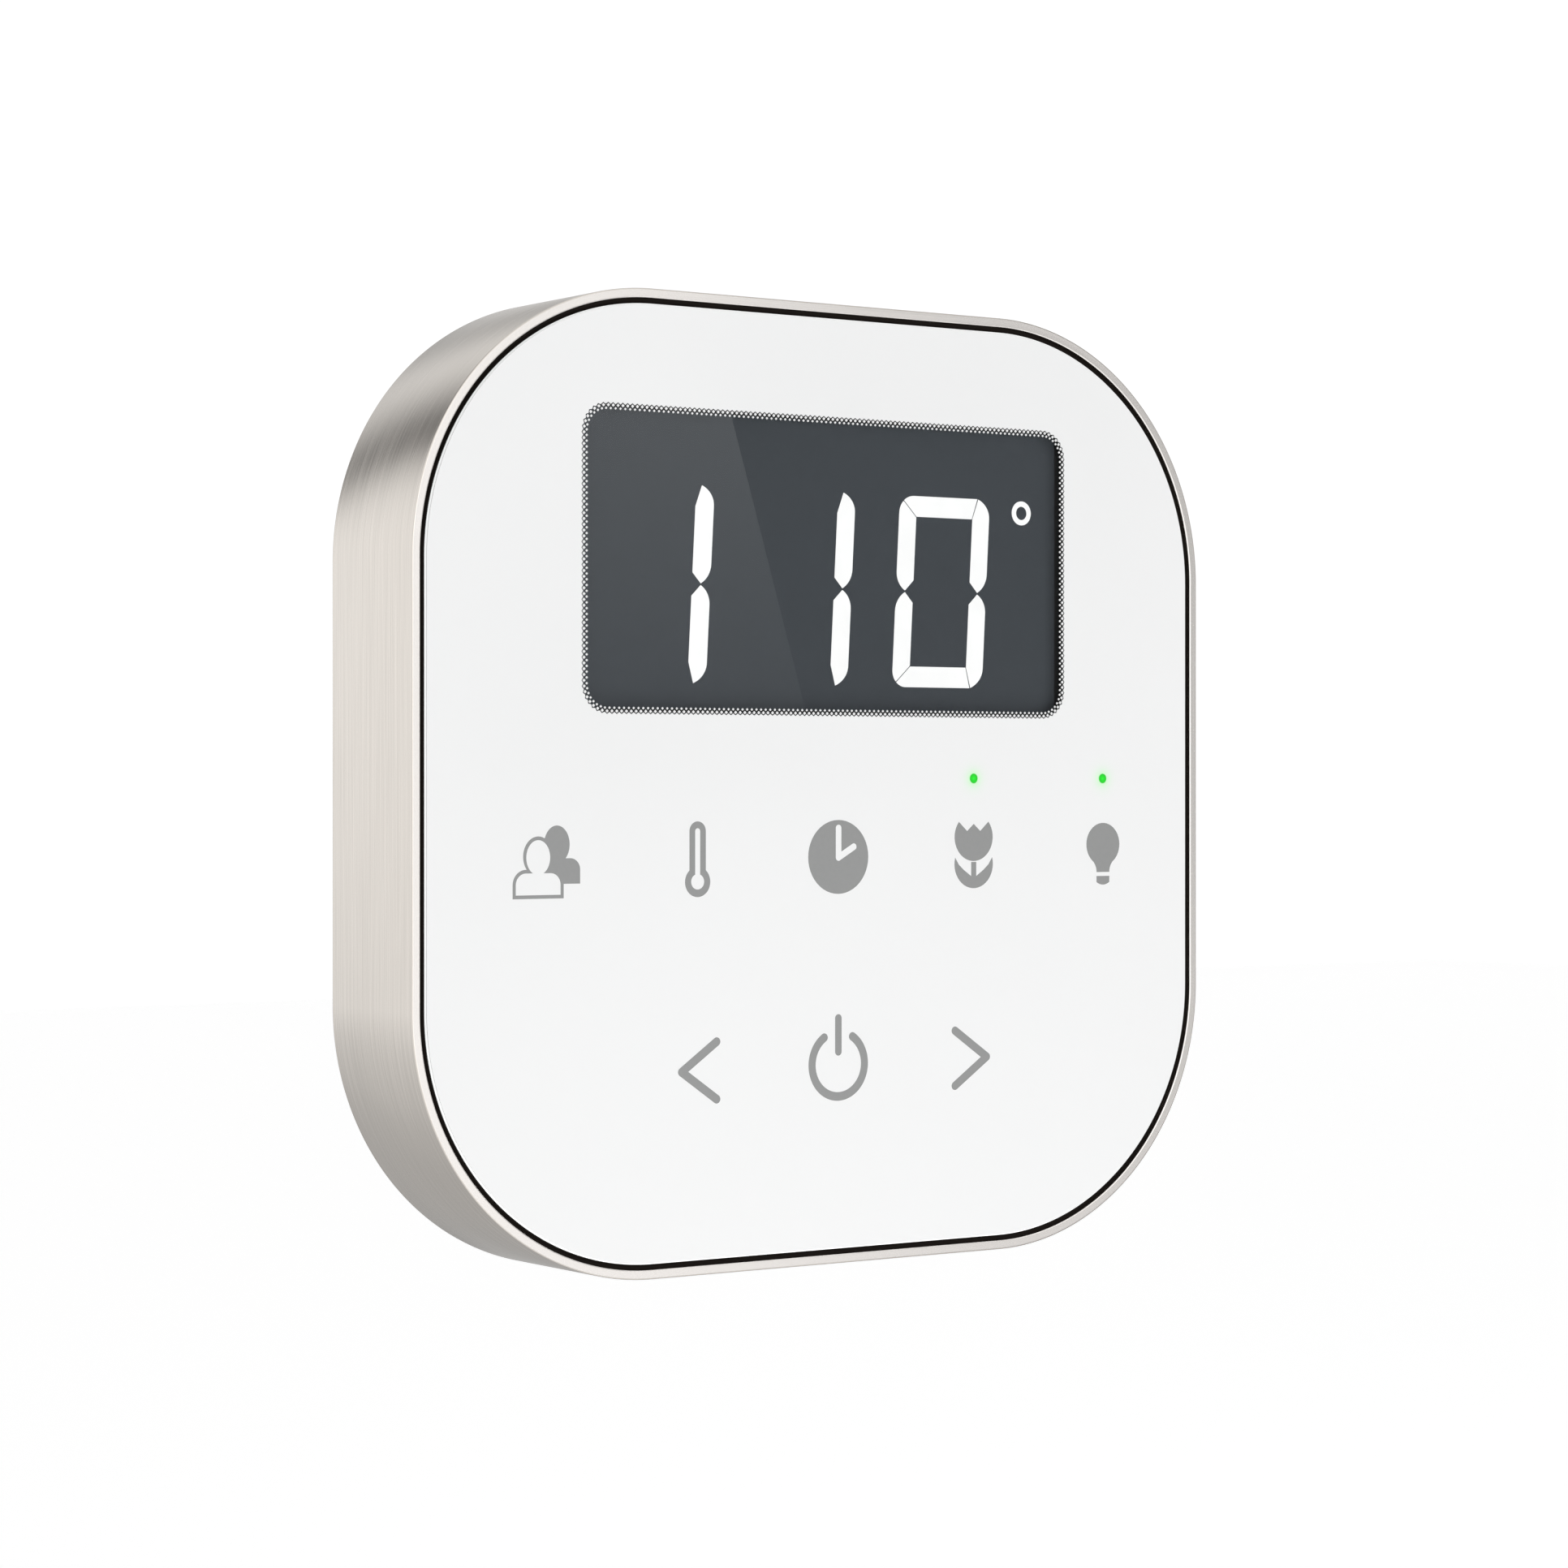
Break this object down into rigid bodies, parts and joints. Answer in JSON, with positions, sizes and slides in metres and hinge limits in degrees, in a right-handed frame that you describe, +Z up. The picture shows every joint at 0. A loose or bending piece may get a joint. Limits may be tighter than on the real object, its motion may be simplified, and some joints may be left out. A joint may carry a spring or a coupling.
{
  "type": "wall thermostat",
  "caption": "Square wall thermostat with a white touch-glass face in a brushed metal ring, a dark window with lit digits, and a magnetic wall plate.",
  "frame": {"origin": "centre of the wall plate's back face, in the plane of the wall", "axes": "+X to the right as one faces the wall, +Z up, +Y into the wall; the glass faces -Y"},
  "size_m": [0.105, 0.0174, 0.105],
  "materials": {
    "brushed_nickel": "brushed nickel plate, grain across the depth",
    "black_seal": "soft matt",
    "clear_glass": "polished, clear",
    "white_enamel": "gloss white print under polish",
    "grey_print": "grey print, same gloss as the glass",
    "dark_print": "dark print with a row of white dots",
    "green_glow": "lit green",
    "grey_tape": "foam tape",
    "amber_film": "printed sensor film",
    "amber_ribbon": "flexible circuit",
    "dark_moulding": "fine texture",
    "slate_lcd": "dark slate, satin",
    "lit_digits": "lit white",
    "black_moulding": "fine texture",
    "white_guide": "milky light guide",
    "clear_pipe": "clear moulding",
    "led_body": "small lamp package",
    "green_board": "solder mask",
    "black_chip": "matt",
    "tin_shield": "tinned can",
    "brown_bead": "dipped bead",
    "screw_steel": "zinc plate",
    "white_moulding": "fine texture",
    "magnet_nickel": "nickel plate",
    "cell_label": "plain dark label with a copper-coloured end",
    "contact_nickel": "plated spring strip",
    "grey_button": "fine texture",
    "plate_grey": "fine texture",
    "keeper_steel": "bright steel"
  },
  "bodies": {
    "wall_mount": {"wall_plate": "plate_grey", "keeper_discs": "keeper_steel"},
    "control": {"case_ring": "brushed_nickel", "glass_gasket": "black_seal", "front_glass": "clear_glass", "face_enamel": "white_enamel", "touch_icons": "grey_print", "window_border": "dark_print", "indicator_dots": "green_glow", "glass_tape": "grey_tape", "touch_film": "amber_film", "touch_ribbon": "amber_ribbon", "inner_frame": "dark_moulding", "lcd_panel": "slate_lcd", "display_digits": "lit_digits", "lcd_bezel": "black_moulding", "backlight": "white_guide", "lcd_ribbon": "amber_ribbon", "light_pipes": "clear_pipe", "status_leds": "led_body", "main_board": "green_board", "processor": "black_chip", "radio_module": "tin_shield", "buzzer": "black_chip", "temperature_sensor": "brown_bead", "pairing_switch": "tin_shield", "board_screws": "screw_steel", "rear_gasket": "black_seal", "rear_cover": "white_moulding", "cover_screws": "screw_steel", "magnets": "magnet_nickel", "batteries": "cell_label", "battery_contacts": "contact_nickel"},
    "battery_door": {"battery_door": "white_moulding"},
    "pairing_button": {"pairing_button": "grey_button", "switch_plunger": "black_chip"}
  },
  "joints": [
    {"name": "lift_off", "type": "slide", "parent": "wall_mount", "child": "control", "axis": [0, -1, 0], "range_m": [0, 0.04]},
    {"name": "door_slide", "type": "slide", "parent": "control", "child": "battery_door", "axis": [0, 0, 1], "range_m": [0, 0.006]},
    {"name": "button_press", "type": "slide", "parent": "control", "child": "pairing_button", "axis": [0, -1, 0], "range_m": [0, 0.0004], "stiffness_N_per_m": 2000}
  ]
}
